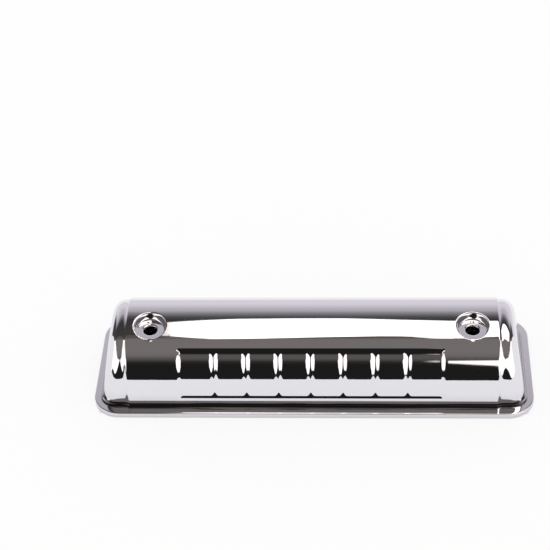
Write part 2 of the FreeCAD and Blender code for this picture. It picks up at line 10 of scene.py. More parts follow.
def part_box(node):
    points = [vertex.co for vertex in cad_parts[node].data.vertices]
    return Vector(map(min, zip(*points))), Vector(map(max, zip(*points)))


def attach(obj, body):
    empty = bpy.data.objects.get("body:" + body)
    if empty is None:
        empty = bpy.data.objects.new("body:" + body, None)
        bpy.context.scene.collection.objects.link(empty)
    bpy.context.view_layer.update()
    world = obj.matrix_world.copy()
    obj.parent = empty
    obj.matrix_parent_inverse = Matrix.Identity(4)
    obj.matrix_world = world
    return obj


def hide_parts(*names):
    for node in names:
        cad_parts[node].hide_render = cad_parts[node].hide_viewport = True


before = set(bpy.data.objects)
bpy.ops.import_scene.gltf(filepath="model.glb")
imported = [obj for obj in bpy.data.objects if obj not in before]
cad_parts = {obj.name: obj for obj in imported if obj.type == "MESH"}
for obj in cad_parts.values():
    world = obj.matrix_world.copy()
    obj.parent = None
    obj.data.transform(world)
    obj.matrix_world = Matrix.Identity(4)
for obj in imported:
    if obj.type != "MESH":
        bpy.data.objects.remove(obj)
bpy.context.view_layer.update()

# Pressed cover
# The whole cover is one blank of thin steel, drawn into a long dome, embossed with a ribbed panel,
# coined with two sunk stud seats, pierced, trimmed round its flange and chrome plated.
# Lengths in this section are in millimetres, angles in degrees.
MILLIMETRE = 0.001
rim_half_long, rim_half_wide, crown_height = np.array(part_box("pressed_cover")[1]) / MILLIMETRE
sheet = 1.2
rim_corner = 28.0
lip_depth = 6.0
lip_bend = 0.9
foot_bend = 3.2
front_reach = 62.2
front_draft = 4.0
front_straight = 20.0
front_bend = 100.0
shoulder_bend = 24.0
crown_bend = 95.0
crown_place = 2.1
back_bend = 43.94
back_draft = 20.0
end_reach = 222.6
end_draft = 9.5
end_bend = 15.0
step_place = 192.9
step_depth = 1.7
step_run = 5.2
pattern_shift = -1.1
panel_reach = 139.0
panel_low = 2.0
panel_high = 36.06
panel_sink = 1.5
panel_slope_run = 4.4
panel_corner = 3.0
groove_pitch = 33.5
groove_count = 7
groove_width = 8.4
groove_sink = 1.2
groove_slope_run = 3.6
groove_fade = 12.0
floor_bend = 0.3
emboss_bend = 1.0
stud_spacing = 333.8
stud_offset = 21.4
seat_height = 78.4
seat_bore = 30.2
seat_wall_draft = 17.0
seat_floor = 26.0
seat_brim = 17.0
boss_width = 34.0
boss_draft = 28.0
seat_bend = 1.4
stud_hole = 13.9
hole_bend = 1.8
hole_collar = 3.6


def shoulder_tilts():
    """Tilts from the vertical at which the shoulder meets the front bend and the crown.

    The front bend starts at the top of the straight front wall. The shoulder touches it and the
    crown from inside, so its centre lies where two circles about their centres cross.
    """
    draft = math.radians(front_draft)
    wall = -front_reach + (front_straight - lip_depth) * math.tan(draft)
    front = np.array([wall + front_bend * math.cos(draft), front_straight - front_bend * math.sin(draft)])
    crown = np.array([crown_place, crown_height - crown_bend])
    apart = np.linalg.norm(crown - front)
    reach_front = front_bend - shoulder_bend
    reach_crown = crown_bend - shoulder_bend
    along = (reach_front**2 - reach_crown**2 + apart**2) / (2 * apart)
    across = math.sqrt(reach_front**2 - along**2)
    way = (crown - front) / apart
    shoulder = front + along * way + across * np.array([way[1], -way[0]])
    if shoulder[1] < crown[1]:
        shoulder = front + along * way - across * np.array([way[1], -way[0]])
    first = math.atan2(shoulder[1] - front[1], front[0] - shoulder[0])
    second = math.atan2(shoulder[1] - crown[1], crown[0] - shoulder[0])
    return first, second


# The section's six stretches: front wall, front bend, shoulder, crown, back bend and back wall
shoulder_from, crown_from = shoulder_tilts()
STRAIGHT = 1.0e6
draft_angle = math.radians(front_draft)
back_angle = math.radians(back_draft)
tilts = np.array([draft_angle, draft_angle, shoulder_from, crown_from, math.pi / 2, math.pi - back_angle])
bends = np.array([STRAIGHT, front_bend, shoulder_bend, crown_bend, back_bend, STRAIGHT])
lengths = np.array([
    front_straight / math.cos(draft_angle),
    front_bend * (shoulder_from - draft_angle),
    shoulder_bend * (crown_from - shoulder_from),
    crown_bend * (math.pi / 2 - crown_from),
    back_bend * (tilts[5] - math.pi / 2),
])
knots = np.concatenate([[0.0], np.cumsum(lengths)])
knot_y = [-front_reach - lip_depth * math.tan(draft_angle)]
knot_z = [0.0]
for turn in range(5):
    after = tilts[turn] + lengths[turn] / bends[turn]
    knot_y.append(knot_y[turn] + bends[turn] * (math.cos(tilts[turn]) - math.cos(after)))
    knot_z.append(knot_z[turn] + bends[turn] * (math.sin(after) - math.sin(tilts[turn])))
knot_y = np.array(knot_y)
knot_z = np.array(knot_z)


def section(s, out):
    """Y, Z and tilt of the cross-section at a distance s along it, moved outwards by out.

    s runs up the front wall, over the crown and down the back wall. The section is a chain of
    circular arcs, so with tilt a from the vertical, y changes by bend * (cos a0 - cos a) and
    z by bend * (sin a - sin a0) from the last knot.
    """
    turn = np.clip(np.searchsorted(knots, s, side="right") - 1, 0, 5)
    tilt = tilts[turn] + (s - knots[turn]) / bends[turn]
    y = knot_y[turn] + bends[turn] * (np.cos(tilts[turn]) - np.cos(tilt))
    z = knot_z[turn] + bends[turn] * (np.sin(tilt) - np.sin(tilts[turn]))
    return y - out * np.cos(tilt), z + out * np.sin(tilt), tilt


def distance_at(y, out):
    """Distance along the moved section at which it passes over a given Y, on its upper side."""
    s = np.linspace(knots[1], knots[5], 20001)
    return np.interp(y, section(s, out)[0], s)


def rounded_start(t, bend):
    """Zero before 0 and t after it, with the corner rounded over a stretch of bend each way."""
    return np.where(t > bend, t, np.clip(t + bend, 0, None) ** 2 / (4 * bend))


def ramp(t, run, bend):
    """From 0 to 1 over a run, straight in the middle and rounded at both ends."""
    return (rounded_start(t, bend) - rounded_start(t - run, bend)) / run


def step_out(x):
    """The main body stands proud of the two ends by one step.

    From a crisp upper edge the step falls away steeply and eases out in a hollow curve.
    """
    past = rounded_start(np.abs(x) - step_place, emboss_bend / 2) / step_run
    return -step_depth * (1 - np.clip(1 - past, 0, None) ** 2)


def panel_out(x, s):
    """Depth of the ribbed panel: a sunk round-cornered rectangle on the front bend.

    The panel's wall keeps its slope until it meets the floor, which lies deeper along the grooves.
    Towards the panel's foot the grooves narrow to a line, by a power that grows from 1 to 3.
    """
    low = knots[1] + front_bend * math.radians(panel_low - front_draft)
    high = knots[1] + front_bend * math.radians(panel_high - front_draft)
    dx = panel_reach - panel_corner - np.abs(x - pattern_shift)
    ds = (high - low) / 2 - panel_corner - np.abs(s - (low + high) / 2)
    inside = np.maximum(np.minimum(dx, ds), 0) - np.hypot(np.clip(-dx, 0, None), np.clip(-ds, 0, None))
    wall = panel_sink / panel_slope_run * rounded_start(inside + panel_corner, emboss_bend)
    place = (x - pattern_shift) / groove_pitch
    nearest = np.clip(np.round(place), -(groove_count // 2), groove_count // 2)
    off = np.abs(place - nearest) * groove_pitch
    grooved = 1 - ramp(off - groove_width / 2 + groove_slope_run, groove_slope_run, emboss_bend)
    grooved = np.clip(grooved, 0, 1) ** (1 + 2 * np.clip(1 - (s - low) / groove_fade, 0, 1))
    floor = panel_sink + groove_sink * grooved
    return -(wall - rounded_start(wall - floor, floor_bend))


def turned_towards(start, end, t):
    """Unit directions from start to end by a share t, along the great circle between them."""
    angle = np.arccos(np.clip((start * end).sum(-1), -1, 1))[..., None]
    return (np.sin((1 - t) * angle) * start + np.sin(t * angle) * end) / np.sin(angle)


def rim_gap(px, py, inset):
    """Distance of plan points outside the rim's outline moved in by inset, and its gradient."""
    corner = rim_corner - inset
    dx = np.abs(px) - (rim_half_long - inset - corner)
    dy = np.abs(py) - (rim_half_wide - inset - corner)
    round_x = np.clip(dx, 0, None)
    round_y = np.clip(dy, 0, None)
    far = np.hypot(round_x, round_y)
    gap = np.where(far > 0, far, np.maximum(dx, dy)) - corner
    safe = np.where(far > 0, far, 1)
    gx = np.where(far > 0, round_x / safe, dx > dy) * np.sign(px)
    gy = np.where(far > 0, round_y / safe, dx <= dy) * np.sign(py)
    return gap, gx, gy


# Rows of the grid run over the cover from the front lip's edge to the back lip's edge
LIP_ROWS, LIP_BEND_ROWS, FLANGE_ROWS, FOOT_ROWS = 2, 6, 4, 8
RIM_ROWS = LIP_ROWS + LIP_BEND_ROWS + FLANGE_ROWS + FOOT_ROWS
SEAT_RINGS = 40
HOLE_RINGS = 8
seat_half = 23.0
seat_y = -stud_offset
seat_x = [pattern_shift - stud_spacing / 2, pattern_shift + stud_spacing / 2]


def rim_profile(contact, normal, skin):
    """Foot bend, flange, lip bend and lip below a column's contact point, from the lip's edge inwards.

    The foot bend is an arc in the plane of the wall's normal. The flange runs on that way to the
    rim's outline, found by Newton's steps on the outline's distance, and the lip turns down there.
    """
    least_bend = 0.3
    least_facing = 0.2
    foot = foot_bend - skin
    bend = max(lip_bend + skin, least_bend)
    sunk = lip_bend + skin - bend
    top = lip_depth + skin
    centre = contact + foot * normal
    level = np.hypot(normal[:, 0], normal[:, 1])
    way = normal[:, :2] / level[:, None]
    tilt = np.arctan2(normal[:, 2], level)
    reach = np.zeros(len(contact))
    for _ in range(12):
        gap, gx, gy = rim_gap(centre[:, 0] + reach * way[:, 0], centre[:, 1] + reach * way[:, 1], lip_bend)
        reach = reach - gap / np.clip(gx * way[:, 0] + gy * way[:, 1], least_facing, None)
    edge_x = centre[:, 0] + reach * way[:, 0]
    edge_y = centre[:, 1] + reach * way[:, 1]
    _, gx, gy = rim_gap(edge_x, edge_y, lip_bend)
    lip_centre = lip_depth - lip_bend
    rows = []
    for z in np.linspace(0, lip_centre + sunk, LIP_ROWS + 1):
        out = sunk + bend
        rows.append(np.stack([edge_x + out * gx, edge_y + out * gy, np.full(len(contact), z)], -1))
    for turn in np.linspace(0, math.pi / 2, LIP_BEND_ROWS + 1)[1:]:
        out = sunk + bend * math.cos(turn)
        z = np.full(len(contact), lip_centre + sunk + bend * math.sin(turn))
        rows.append(np.stack([edge_x + out * gx, edge_y + out * gy, z], -1))
    for part in np.linspace(1, 0, FLANGE_ROWS + 1)[1:]:
        x = centre[:, 0] + part * reach * way[:, 0]
        y = centre[:, 1] + part * reach * way[:, 1]
        rows.append(np.stack([x, y, np.full(len(contact), top)], -1))
    for part in np.linspace(1, 0, FOOT_ROWS + 1)[1:]:
        turn = tilt + part * (math.pi / 2 - tilt)
        flat = foot * np.cos(turn)
        rows.append(np.stack([
            centre[:, 0] - flat * way[:, 0],
            centre[:, 1] - flat * way[:, 1],
            centre[:, 2] - foot * np.sin(turn),
        ], -1))
    return np.stack(rows)


def graded(start, end, count, power=1.0):
    """count steps from start to end, growing along the way when power is over 1."""
    return start + (end - start) * np.linspace(0, 1, count + 1) ** power


def chain(*stretches):
    """Joins stretches of lines end to end, each given with its shared first line."""
    return np.concatenate([stretches[0]] + [stretch[1:] for stretch in stretches[1:]])


foot_level = lip_depth + foot_bend
contact_front = (foot_level - foot_bend * math.sin(draft_angle)) / math.cos(draft_angle)
contact_back = knots[5] + (knot_z[5] - foot_level + foot_bend * math.sin(back_angle)) / math.cos(back_angle)
seat_front = float(distance_at(seat_y - seat_half, 0.0))
seat_back = float(distance_at(seat_y + seat_half, 0.0))
panel_foot = knots[1] + front_bend * math.radians(panel_low - front_draft)
WALL_ROWS, PANEL_FOOT_ROWS, FRONT_ROWS, BACK_ROWS = 6, 12, 14, 24
dome_lines = chain(
    graded(contact_front, panel_foot - emboss_bend, WALL_ROWS),
    graded(panel_foot - emboss_bend, panel_foot + 2 * panel_slope_run, PANEL_FOOT_ROWS),
    graded(panel_foot + 2 * panel_slope_run, seat_front, FRONT_ROWS),
    graded(seat_front, seat_back, 2 * SEAT_RINGS),
    graded(seat_back, contact_back, BACK_ROWS, 1.6),
)
SEAT_ROW = RIM_ROWS + WALL_ROWS + PANEL_FOOT_ROWS + FRONT_ROWS + SEAT_RINGS
ROWS = 2 * RIM_ROWS + len(dome_lines)

# Columns run from the left end's middle, round its bend, along the cover and back round the right end
CAP_COLUMNS, BEND_COLUMNS, STRIP_COLUMNS = 10, 14, 2
END_COLUMNS = CAP_COLUMNS + BEND_COLUMNS + STRIP_COLUMNS
CAP_GROWTH = 1.3
SPINE_SHARE = 0.75
strip_from = 196.2
margin = 0.2
groove_zone = groove_width / 2 + emboss_bend + margin
panel_edge = panel_slope_run + emboss_bend + margin
panel_left = pattern_shift - panel_reach
panel_right = pattern_shift + panel_reach
stretches = [
    graded(-strip_from, seat_x[0] - seat_half, 10),
    graded(seat_x[0] - seat_half, seat_x[0] + seat_half, 2 * SEAT_RINGS),
    graded(seat_x[0] + seat_half, panel_left - emboss_bend, 2),
    graded(panel_left - emboss_bend, panel_left + panel_edge, 12),
]
for groove in range(groove_count):
    middle = pattern_shift + (groove - groove_count // 2) * groove_pitch
    stretches.append(graded(stretches[-1][-1], middle - groove_zone, 6))
    stretches.append(graded(middle - groove_zone, middle + groove_zone, 16))
stretches += [
    graded(stretches[-1][-1], panel_right - panel_edge, 6),
    graded(panel_right - panel_edge, panel_right + emboss_bend, 12),
    graded(panel_right + emboss_bend, seat_x[1] - seat_half, 2),
    graded(seat_x[1] - seat_half, seat_x[1] + seat_half, 2 * SEAT_RINGS),
    graded(seat_x[1] + seat_half, strip_from, 12),
]
along_lines = chain(*stretches)
seat_columns = [END_COLUMNS + int(np.argmin(np.abs(along_lines - x))) for x in seat_x]
COLUMNS = 2 * END_COLUMNS + len(along_lines)

# Rings about a stud run up the hole's collar, over its rolled edge and the flat seat, and out as circles
COLLAR_END = HOLE_RINGS + 2
ROLL_END = COLLAR_END + 6
FLAT_END = ROLL_END + 4
ROUND_END = FLAT_END + 14


def ring_profile(skin):
    """Radius of each ring about a stud, and its height where it belongs to the hole's rolled edge."""
    wall_lead = 0.4
    wall_pitch = 0.49
    wall_from = seat_bore / 2 - seat_bend - wall_lead
    rings = np.arange(SEAT_RINGS + 1)
    radius = np.zeros(SEAT_RINGS + 1)
    height = np.full(SEAT_RINGS + 1, seat_height + skin)
    bend = hole_bend + skin
    collar = rings <= COLLAR_END
    radius[collar] = stud_hole / 2 - skin
    drop = (rings[collar] - HOLE_RINGS) / (COLLAR_END - HOLE_RINGS)
    low = seat_height - hole_collar
    height[collar] = low + drop * (seat_height - hole_bend - low)
    rolled = (rings > COLLAR_END) & (rings <= ROLL_END)
    turn = (rings[rolled] - COLLAR_END) / (ROLL_END - COLLAR_END) * math.pi / 2
    centre = stud_hole / 2 + hole_bend
    radius[rolled] = centre - bend * np.cos(turn)
    height[rolled] = seat_height - hole_bend + bend * np.sin(turn)
    flat = (rings > ROLL_END) & (rings <= FLAT_END)
    radius[flat] = centre + (wall_from - centre) * (rings[flat] - ROLL_END) / (FLAT_END - ROLL_END)
    wall = rings > FLAT_END
    radius[wall] = wall_from + wall_pitch * (rings[wall] - FLAT_END)
    return radius, height


def seat_block(lines, skin):
    """Points of one seat's square block of the grid, from the stud outwards in rings.

    Rings near the hole are circles and ease into the square grid outside them. Height follows the
    base surface, held between a wall that rises outside the seat and a boss that falls away. Where
    the surface meets such a limit, the corner is rounded over a share of its height.
    """
    rounded_share = 0.3
    index = np.arange(-SEAT_RINGS, SEAT_RINGS + 1)
    j, i = np.meshgrid(index, index)
    ring = np.maximum(np.abs(i), np.abs(j))
    safe = np.where(ring > 0, ring, 1)
    sideways = np.abs(j) >= np.abs(i)
    angle = np.where(
        sideways,
        math.pi / 4 * i / safe * np.sign(j) + np.where(j < 0, math.pi, 0),
        math.pi / 2 * np.sign(i) - math.pi / 4 * j / safe * np.sign(i),
    )
    radius, height = ring_profile(skin)
    ease = np.clip((ring - ROUND_END) / (SEAT_RINGS - ROUND_END), 0, 1)
    ease = ease**2 * (3 - 2 * ease)
    line_y = section(lines, skin)[0] - seat_y
    dx = (1 - ease) * radius[ring] * np.cos(angle) + ease * seat_half * j / SEAT_RINGS
    dy = (1 - ease) * radius[ring] * np.sin(angle) + ease * line_y[i + SEAT_RINGS]
    s = distance_at(seat_y + dy, skin)
    base = section(s, skin)[1]
    plan = np.hypot(dx, dy)
    seat = seat_height + skin
    grow = -skin * math.tan(math.radians(45 - seat_wall_draft / 2))
    shrink = -skin * math.tan(math.radians(45 - boss_draft / 2))
    up = rounded_start(plan - seat_bore / 2 - grow, seat_bend) / math.tan(math.radians(seat_wall_draft))
    brim = math.tan(math.radians(seat_brim))
    fall = 1 / math.tan(math.radians(boss_draft)) - brim
    down = brim * rounded_start(plan - seat_floor / 2, seat_bend / 2)
    down = down + fall * rounded_start(plan - boss_width / 2 + shrink, seat_bend)
    off = base - seat
    limit = np.where(off > 0, up, down) + 1e-9
    share = np.abs(off) / limit
    held = np.minimum(share, 1 + rounded_share)
    held = held - np.clip(held - 1 + rounded_share, 0, None) ** 2 / (4 * rounded_share)
    z = seat + np.sign(off) * limit * held
    z = np.where(ring <= ROLL_END, height[ring], (1 - ease) * z + ease * base)
    return dx, seat_y + dy, z


def cover_skin(skin):
    """All points of one skin of the sheet, rows by columns, moved outwards by skin.

    Along the body a column is the cross-section at one x. Round an end it rides on a ball rolled
    between the section and the sloped end wall: centre + radius * direction, the direction turning
    from the section's normal to the end wall's. The end wall is flat, from the ball's last track
    to a line up its middle, where the grid folds shut.
    """
    points = np.zeros((ROWS, COLUMNS, 3))
    normals = np.zeros((2, COLUMNS, 3))
    dome = slice(RIM_ROWS, ROWS - RIM_ROWS)
    s, x = np.meshgrid(dome_lines, along_lines, indexing="ij")
    near_front = np.clip(1 - np.arange(len(dome_lines)) / WALL_ROWS, 0, 1)
    near_back = near_front[::-1]
    sunk = step_out(x)
    s = s - sunk * near_front[:, None] * math.tan(draft_angle)
    s = s + sunk * near_back[:, None] * math.tan(back_angle)
    y, z, _ = section(s, skin + sunk + panel_out(x, s))
    middle = slice(END_COLUMNS, COLUMNS - END_COLUMNS)
    points[dome, middle] = np.stack([x, y, z], -1)
    normals[0, middle] = (0, -math.cos(draft_angle), math.sin(draft_angle))
    normals[1, middle] = (0, math.cos(back_angle), math.sin(back_angle))

    lean = math.radians(end_draft)
    end_normal = np.array([math.cos(lean), 0, math.sin(lean)])
    inward = -step_depth - end_bend
    ball = end_bend + skin
    end_foot = end_reach + lip_depth * math.tan(lean)
    right = np.zeros((len(dome_lines), END_COLUMNS, 3))
    right_normals = np.zeros((2, END_COLUMNS, 3))

    def ball_centre(s):
        """Centre of the rolled ball, which touches the end wall, and the section's normal there."""
        y, z, tilt = section(s, inward)
        x = end_foot - (end_bend + z * math.sin(lean)) / math.cos(lean)
        normal = np.stack([np.zeros_like(tilt), -np.cos(tilt), np.sin(tilt)], -1)
        return np.stack([x, y, z], -1), normal

    def track(turn):
        """Points and normals of the rolled bend at one turn from the section to the end wall.

        The lines near both feet are moved in three rounds until the bend meets the flange's foot.
        """
        lines = dome_lines.copy()
        feet = ((0, near_front, math.cos(draft_angle)), (-1, near_back, -math.cos(back_angle)))
        for _ in range(3):
            centre, normal = ball_centre(lines)
            way = turned_towards(normal, end_normal[None, :], turn)
            for end, near, slope_z in feet:
                wanted = foot_level - (end_bend + foot_bend) * way[end, 2]
                lines = lines + near * (wanted - centre[end, 2]) / slope_z
        centre, normal = ball_centre(lines)
        way = turned_towards(normal, end_normal[None, :], turn)
        return centre + ball * way, way

    first, first_way = track(0.0)
    first_tilt = np.arctan2(first_way[:, 2], -first_way[:, 1])
    for column in range(STRIP_COLUMNS):
        right[:, column] = first
        right[:, column, 0] = strip_from + (first[:, 0] - strip_from) * (column + 1) / (STRIP_COLUMNS + 1)
        right_normals[:, column] = first_way[[0, -1]]
    for column in range(BEND_COLUMNS):
        points_at, way = track(column / (BEND_COLUMNS - 1))
        right[:, STRIP_COLUMNS + column] = points_at
        right_normals[:, STRIP_COLUMNS + column] = way[[0, -1]]
    still_proud = step_depth + step_out(right[:, :, 0])
    right[:, :, 1] -= still_proud * np.cos(first_tilt)[:, None]
    right[:, :, 2] += still_proud * np.sin(first_tilt)[:, None]
    last = right[:, STRIP_COLUMNS + BEND_COLUMNS - 1]
    count = len(dome_lines)
    fold = np.minimum(np.arange(count), count - 1 - np.arange(count)) / (count // 2)
    spine_top = SPINE_SHARE * last[:, 2].max()
    spine_z = last[0, 2] + (spine_top - last[0, 2]) * fold
    spine_x = end_foot + (skin - spine_z * math.sin(lean)) / math.cos(lean)
    spine = np.stack([spine_x, fold * last[count // 2, 1], spine_z], -1)
    for column in range(CAP_COLUMNS):
        part = ((column + 1) / CAP_COLUMNS) ** CAP_GROWTH
        at = STRIP_COLUMNS + BEND_COLUMNS + column
        right[:, at] = last + part * (spine - last)
        right_normals[:, at] = end_normal
    points[dome, COLUMNS - END_COLUMNS :] = right
    normals[:, COLUMNS - END_COLUMNS :] = right_normals
    points[dome, :END_COLUMNS] = right[:, ::-1] * (-1, 1, 1)
    normals[:, :END_COLUMNS] = right_normals[:, ::-1] * (-1, 1, 1)

    for column in seat_columns:
        rows = slice(SEAT_ROW - SEAT_RINGS, SEAT_ROW + SEAT_RINGS + 1)
        cols = slice(column - SEAT_RINGS, column + SEAT_RINGS + 1)
        lines = dome_lines[SEAT_ROW - RIM_ROWS - SEAT_RINGS : SEAT_ROW - RIM_ROWS + SEAT_RINGS + 1]
        dx, y, z = seat_block(lines, skin)
        centre = along_lines[column - END_COLUMNS]
        lift = step_out(centre + dx)
        points[rows, cols] = np.stack([centre + dx, y, z + lift], -1)

    points[: RIM_ROWS + 1] = rim_profile(points[RIM_ROWS], normals[0], skin)
    points[ROWS - RIM_ROWS - 1 :] = rim_profile(points[ROWS - RIM_ROWS - 1], normals[1], skin)[::-1]
    return points


def grid_faces(rows, columns, step, first):
    """Quads of a grid taken at every step-th line, its end columns folded shut and its stud holes open.

    A folded end column joins its front half to its back half, so both name the same vertices.
    Returns the index of each grid point's vertex, the quads and the rows and columns kept.
    """
    kept_rows = np.arange(0, rows, step)
    kept_columns = np.arange(0, columns, step)
    index = first + np.arange(len(kept_rows) * len(kept_columns)).reshape(len(kept_rows), -1)
    half = len(kept_rows) // 2
    for end in (0, -1):
        index[half + 1 :, end] = index[:half, end][::-1]
    quads = np.stack([index[:-1, :-1], index[:-1, 1:], index[1:, 1:], index[1:, :-1]], -1)
    keep = np.ones(quads.shape[:2], bool)
    hole = HOLE_RINGS // step
    for column in seat_columns:
        row = SEAT_ROW // step
        keep[row - hole : row + hole, column // step - hole : column // step + hole] = False
    return index, quads[keep], kept_rows, kept_columns


def ring_around(index, row, column, reach):
    """Vertices round a square of the grid, in order, starting at a corner."""
    top = index[row - reach, column - reach : column + reach]
    right = index[row - reach : row + reach, column + reach]
    bottom = index[row + reach, column + reach : column - reach : -1]
    left = index[row + reach : row - reach : -1, column - reach]
    return np.concatenate([top, right, bottom, left])


def edge_strip(fine, coarse, turned):
    """Closes the trimmed edge of the sheet: five-sided faces from two outer edges to one inner edge."""
    count = len(coarse)
    after = (np.arange(count) + 1) % count
    start = 2 * np.arange(count)
    faces = np.stack([fine[start], fine[start + 1], fine[2 * after % len(fine)], coarse[after], coarse], -1)
    return faces[:, ::-1] if turned else faces


def pressed_cover_mesh():
    """Outer skin, inner skin at half the lines, and the trimmed edges that join them."""
    outer = cover_skin(0.0)
    inner = cover_skin(-sheet)
    outer_index, outer_faces, _, _ = grid_faces(ROWS, COLUMNS, 1, 0)
    inner_index, inner_faces, kept_rows, kept_columns = grid_faces(ROWS, COLUMNS, 2, ROWS * COLUMNS)
    vertices = np.concatenate([outer.reshape(-1, 3), inner[kept_rows][:, kept_columns].reshape(-1, 3)])
    front, back = outer_index[0], outer_index[-1]
    rim_fine = np.concatenate([front[:-1], back[:0:-1]])
    rim_coarse = np.concatenate([inner_index[0][:-1], inner_index[-1][:0:-1]])
    edges = [edge_strip(rim_fine, rim_coarse, True)]
    for column in seat_columns:
        fine = ring_around(outer_index, SEAT_ROW, column, HOLE_RINGS)
        coarse = ring_around(inner_index, SEAT_ROW // 2, column // 2, HOLE_RINGS // 2)
        edges.append(edge_strip(fine, coarse, False))
    faces = outer_faces.tolist() + inner_faces[:, ::-1].tolist()
    inside_from, inside_to = len(outer_faces), len(faces)
    for strip in edges:
        faces += strip.tolist()
    used = np.unique(np.concatenate([np.ravel(face) for face in (outer_faces, inner_faces, *edges)]))
    place = np.full(len(vertices), -1)
    place[used] = np.arange(len(used))
    faces = [[int(place[v]) for v in face] for face in faces]
    mesh = bpy.data.meshes.new("chromed_cover")
    mesh.from_pydata((vertices[used] * MILLIMETRE).tolist(), [], faces)
    mesh.polygons.foreach_set("use_smooth", np.ones(len(faces), bool))
    slots = np.zeros(len(faces), np.int32)
    slots[inside_from:inside_to] = 1
    mesh.polygons.foreach_set("material_index", slots)
    mesh.set_sharp_from_angle(angle=math.radians(60))
    return mesh


def worked_out(tree, operation, *values):
    """Result of a maths node fed with other nodes' results and with plain numbers, in order."""
    node = tree.nodes.new("ShaderNodeMath")
    node.operation = operation
    for socket, value in zip(node.inputs, values):
        if isinstance(value, bpy.types.NodeSocket):
            tree.links.new(value, socket)
        else:
            socket.default_value = value
    return node.outputs["Value"]


def eased(tree, value, start, end, low=0.0, high=1.0, way="LINEAR"):
    """A value mapped to low at start and to high at end, and held beyond them."""
    node = tree.nodes.new("ShaderNodeMapRange")
    node.interpolation_type = way
    for name, number in (("From Min", start), ("From Max", end), ("To Min", low), ("To Max", high)):
        node.inputs[name].default_value = number
    tree.links.new(value, node.inputs["Value"])
    return node.outputs["Result"]


def noise(tree, vector, scale, detail):
    """Cloudy noise between 0 and 1 over the given place."""
    node = tree.nodes.new("ShaderNodeTexNoise")
    node.inputs["Scale"].default_value = scale
    node.inputs["Detail"].default_value = detail
    tree.links.new(vector, node.inputs["Vector"])
    return node.outputs["Fac"]


def chrome_finish():
    """Bright plate over polished steel: faint cloudiness, fine buffing lines, and a dark crease.

    The crease where the wall meets the flange is painted dark, a few millimetres high: painted shade
    that stands in for the dark reflection and shade in it, more along the front and the back than round the
    ends.
    """
    group = bpy.data.node_groups.new("plated_surface", "ShaderNodeTree")
    for name, value in (("Haze", 0.05), ("Buffing", 0.05), ("Crease", 0.0)):
        made = group.interface.new_socket(name, in_out="INPUT", socket_type="NodeSocketFloat")
        made.default_value = value
    for name in ("Roughness", "Lines", "Painted shade"):
        group.interface.new_socket(name, in_out="OUTPUT", socket_type="NodeSocketFloat")
    nodes, links = group.nodes, group.links
    given = nodes.new("NodeGroupInput")
    result = nodes.new("NodeGroupOutput")
    place = nodes.new("ShaderNodeTexCoord")
    cloud = noise(group, place.outputs["Object"], 28.0, 4.0)
    stretch = nodes.new("ShaderNodeMapping")
    stretch.inputs["Scale"].default_value = (60.0, 2600.0, 2600.0)
    links.new(place.outputs["Object"], stretch.inputs["Vector"])
    hair = noise(group, stretch.outputs["Vector"], 1.0, 2.0)
    spread = eased(group, cloud, 0.35, 0.75, 0.6, 1.5)
    links.new(worked_out(group, "MULTIPLY", spread, given.outputs["Haze"]), result.inputs["Roughness"])
    links.new(worked_out(group, "MULTIPLY", hair, given.outputs["Buffing"]), result.inputs["Lines"])

    apart = nodes.new("ShaderNodeSeparateXYZ")
    links.new(place.outputs["Object"], apart.inputs["Vector"])
    flange_level = lip_depth * MILLIMETRE
    level_from, level_to = flange_level + 0.00001, flange_level + 0.0001
    uneven = worked_out(group, "MULTIPLY_ADD", cloud, 0.0022, apart.outputs["Z"])
    up_the_wall = eased(group, uneven, 0.0113, 0.0122, 1.0, 0.0, "SMOOTHSTEP")
    over_flange = eased(group, apart.outputs["Z"], level_from, level_to, 0.0, 1.0, "SMOOTHSTEP")
    sideways = worked_out(group, "ABSOLUTE", apart.outputs["Y"])
    off_the_ends = eased(group, sideways, 0.050, 0.0605, 0.4, 1.0, "SMOOTHSTEP")
    # Painted shade: a mask for the crease, which darkens the plate's colour there
    crease = worked_out(group, "MULTIPLY", up_the_wall, over_flange)
    crease = worked_out(group, "MULTIPLY", crease, off_the_ends)
    links.new(worked_out(group, "MULTIPLY", crease, given.outputs["Crease"]), result.inputs["Painted shade"])
    return group


plated_surface = chrome_finish()


def plated_material(name, colour, haze, buffing, depth, crease):
    """Metal with the plated surface: its colour, cloudiness, lines and their depth, and painted crease
    shade.
    """
    material = bpy.data.materials.new(name)
    material.use_nodes = True
    nodes, links = material.node_tree.nodes, material.node_tree.links
    shader = nodes["Principled BSDF"]
    shader.inputs["Metallic"].default_value = 1.0
    surface = nodes.new("ShaderNodeGroup")
    surface.node_tree = plated_surface
    surface.inputs["Haze"].default_value = haze
    surface.inputs["Buffing"].default_value = buffing
    surface.inputs["Crease"].default_value = crease
    # The plate's colour turns near black in the crease: painted shade
    crease_shaded = nodes.new("ShaderNodeMix")
    crease_shaded.data_type = "RGBA"
    crease_shaded.inputs["A"].default_value = (*colour, 1)
    crease_shaded.inputs["B"].default_value = (0.012, 0.012, 0.012, 1)
    links.new(surface.outputs["Painted shade"], crease_shaded.inputs["Factor"])
    links.new(crease_shaded.outputs["Result"], shader.inputs["Base Color"])
    bump = nodes.new("ShaderNodeBump")
    bump.inputs["Strength"].default_value = 1.0
    bump.inputs["Distance"].default_value = depth
    links.new(surface.outputs["Roughness"], shader.inputs["Roughness"])
    links.new(surface.outputs["Lines"], bump.inputs["Height"])
    links.new(bump.outputs["Normal"], shader.inputs["Normal"])
    return material


cover_mesh = pressed_cover_mesh()
